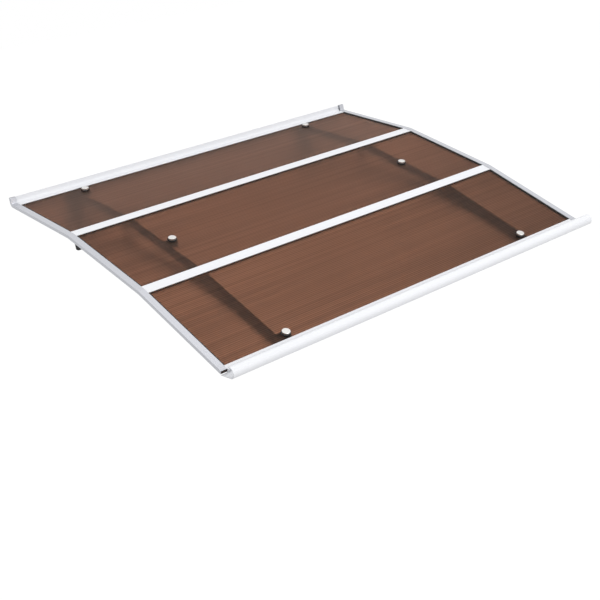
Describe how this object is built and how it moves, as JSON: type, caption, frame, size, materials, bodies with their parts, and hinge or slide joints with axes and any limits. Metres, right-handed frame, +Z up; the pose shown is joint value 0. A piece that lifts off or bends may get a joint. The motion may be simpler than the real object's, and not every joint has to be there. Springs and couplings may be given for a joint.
{
  "type": "door canopy",
  "caption": "Wall-hung door canopy: three stepped twin-wall panels in an aluminium frame with a front gutter, on two bracket arms.",
  "frame": {"origin": "on the wall, at mid width, where the middle plane of the rear panel meets the back of the wall bar", "axes": "+Z up, +Y into the wall (the wall is the plane y = 0), -Y outward, +X to the right of someone facing the wall"},
  "size_m": [1.2, 0.9833, 0.3433],
  "materials": {
    "sheet": "brown tinted twin-wall polycarbonate",
    "bar": "white coated aluminium",
    "trim": "satin silver",
    "bracket": "satin dark paint",
    "steel": "stainless",
    "rubber": "matt black"
  },
  "bodies": {
    "root": {"sheet_rear": "sheet", "sheet_middle": "sheet", "sheet_front": "sheet", "wall_bar": "bar", "cross_bar_rear": "bar", "cross_bar_front": "bar", "gutter_bar": "bar", "side_trim_left": "trim", "side_trim_right": "trim", "bracket_arm_left": "bracket", "bracket_arm_right": "bracket", "wall_plate_left": "bracket", "wall_plate_right": "bracket", "washer_rear_left": "rubber", "washer_rear_right": "rubber", "washer_middle_left": "rubber", "washer_middle_right": "rubber", "washer_front_left": "rubber", "washer_front_right": "rubber", "disc_bolt_rear_left": "steel", "disc_bolt_rear_right": "steel", "disc_bolt_middle_left": "steel", "disc_bolt_middle_right": "steel", "disc_bolt_front_left": "steel", "disc_bolt_front_right": "steel", "hex_bolt_1_left": "steel", "hex_bolt_1_right": "steel", "hex_bolt_2_left": "steel", "hex_bolt_2_right": "steel", "hex_bolt_3_left": "steel", "hex_bolt_3_right": "steel"}
  },
  "joints": []
}
